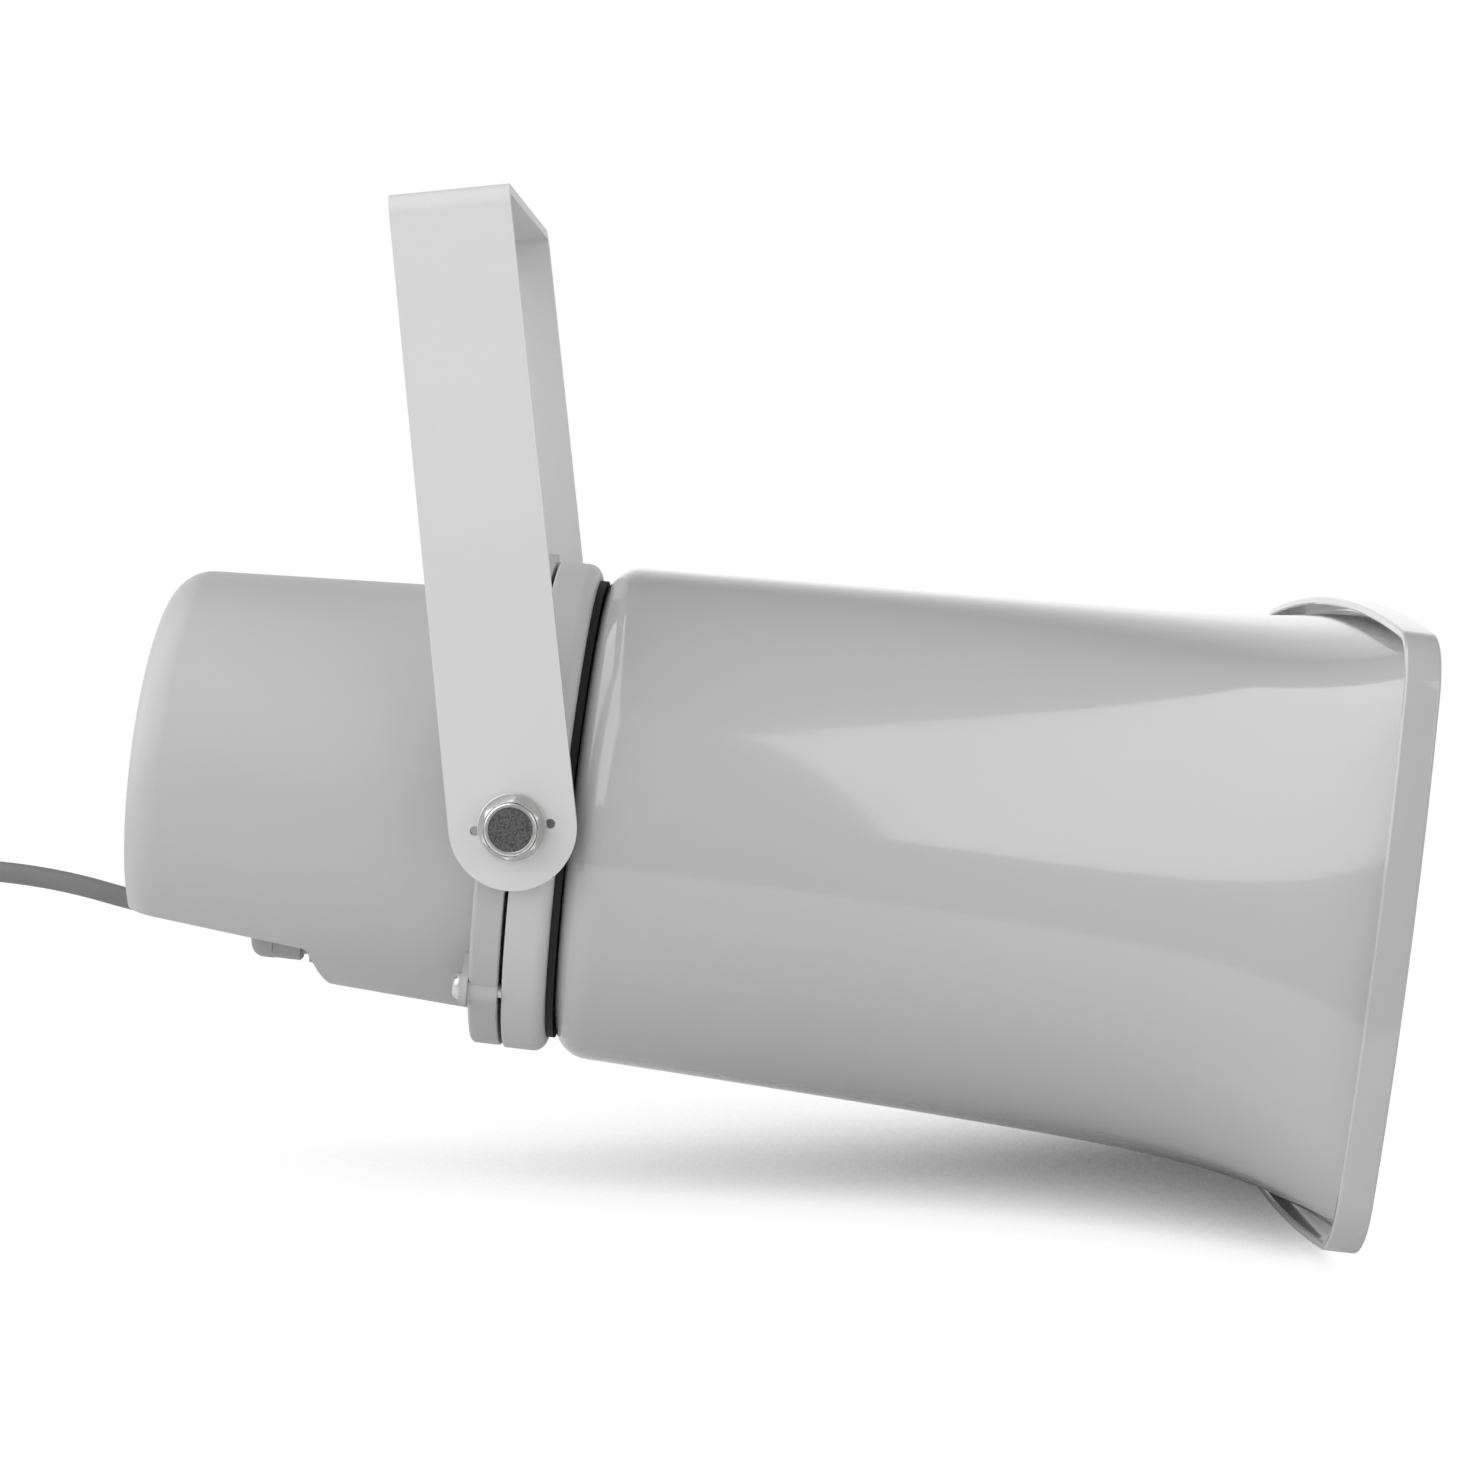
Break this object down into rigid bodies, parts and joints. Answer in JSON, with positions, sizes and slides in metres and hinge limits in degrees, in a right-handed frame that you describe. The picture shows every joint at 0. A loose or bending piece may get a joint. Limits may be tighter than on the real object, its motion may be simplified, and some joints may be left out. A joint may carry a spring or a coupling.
{
  "type": "pa horn speaker",
  "caption": "Re-entrant public address horn speaker with a crowned rectangular mouth, hung in a tilting U bracket, with a flying lead.",
  "frame": {"origin": "centre of the bracket plate's outer face, on the axis of its central hole", "axes": "+Z out of the bracket plate's outer face, +X towards the horn's mouth, Y along the tilt axis"},
  "size_m": [0.5333, 0.2418, 0.2776],
  "materials": {
    "bracket_paint": "light grey powder coat on folded steel",
    "horn_plastic": "semi-gloss light grey moulded ABS",
    "cover_plastic": "satin light grey moulded ABS",
    "ring_plastic": "satin light grey moulded ABS",
    "reflector_plastic": "semi-gloss light grey moulded ABS",
    "stainless": "bright stainless steel",
    "black_rubber": "black closed-cell gasket",
    "grey_rubber": "dark grey seal",
    "gland_nylon": "grey nylon",
    "cable_pvc": "mid grey PVC sheath",
    "core_pvc": "coloured PVC core insulation",
    "plated_steel": "zinc plated steel",
    "ferrite": "sintered ferrite",
    "cast_alloy": "die cast aluminium",
    "phenolic": "phenolic-impregnated diaphragm",
    "copper_wire": "enamelled copper wire",
    "core_steel": "laminated transformer steel",
    "winding_tape": "taped winding",
    "black_plastic": "black nylon"
  },
  "bodies": {
    "bracket": {"bracket": "bracket_paint"},
    "horn": {"pivot_bolt_left": "stainless", "pivot_bolt_right": "stainless", "pivot_washer_left": "stainless", "pivot_washer_right": "stainless", "pivot_bush_left": "plated_steel", "pivot_bush_right": "plated_steel", "mounting_collar": "ring_plastic", "bell_gasket": "black_rubber", "cover_seal": "grey_rubber", "horn_bell": "horn_plastic", "bell_screws": "plated_steel", "tone_tube": "reflector_plastic", "reflector": "reflector_plastic", "reflector_screw": "stainless", "rear_cover": "cover_plastic", "cover_screws": "stainless", "driver_head": "cast_alloy", "driver_fixings": "plated_steel", "phase_plug": "black_plastic", "diaphragm": "phenolic", "voice_coil": "copper_wire", "top_plate": "plated_steel", "magnet": "ferrite", "pole_yoke": "plated_steel", "driver_screws": "plated_steel", "transformer_core": "core_steel", "transformer_winding": "winding_tape", "transformer_frame": "plated_steel", "transformer_screws": "plated_steel", "selector_switch": "black_plastic", "gland_body": "gland_nylon", "gland_nut": "gland_nylon", "gland_seal": "grey_rubber", "gland_locknut": "gland_nylon", "cable_tail": "cable_pvc", "cable": "cable_pvc", "cable_coil": "cable_pvc", "cable_tie": "black_plastic", "cable_end": "cable_pvc", "cable_cores": "core_pvc"},
    "selector": {"selector_knob": "black_plastic"}
  },
  "joints": [
    {"name": "horn_tilt", "type": "hinge", "parent": "bracket", "child": "horn", "pos_m": [0, 0, -0.1557], "axis": [0, 1, 0], "range_deg": [-60, 75]},
    {"name": "power_selector_turn", "type": "hinge", "parent": "horn", "child": "selector", "pos_m": [-0.09762, 0, -0.13449], "axis": [0.9772, 0, -0.2123], "range_deg": [-60, 60]}
  ]
}
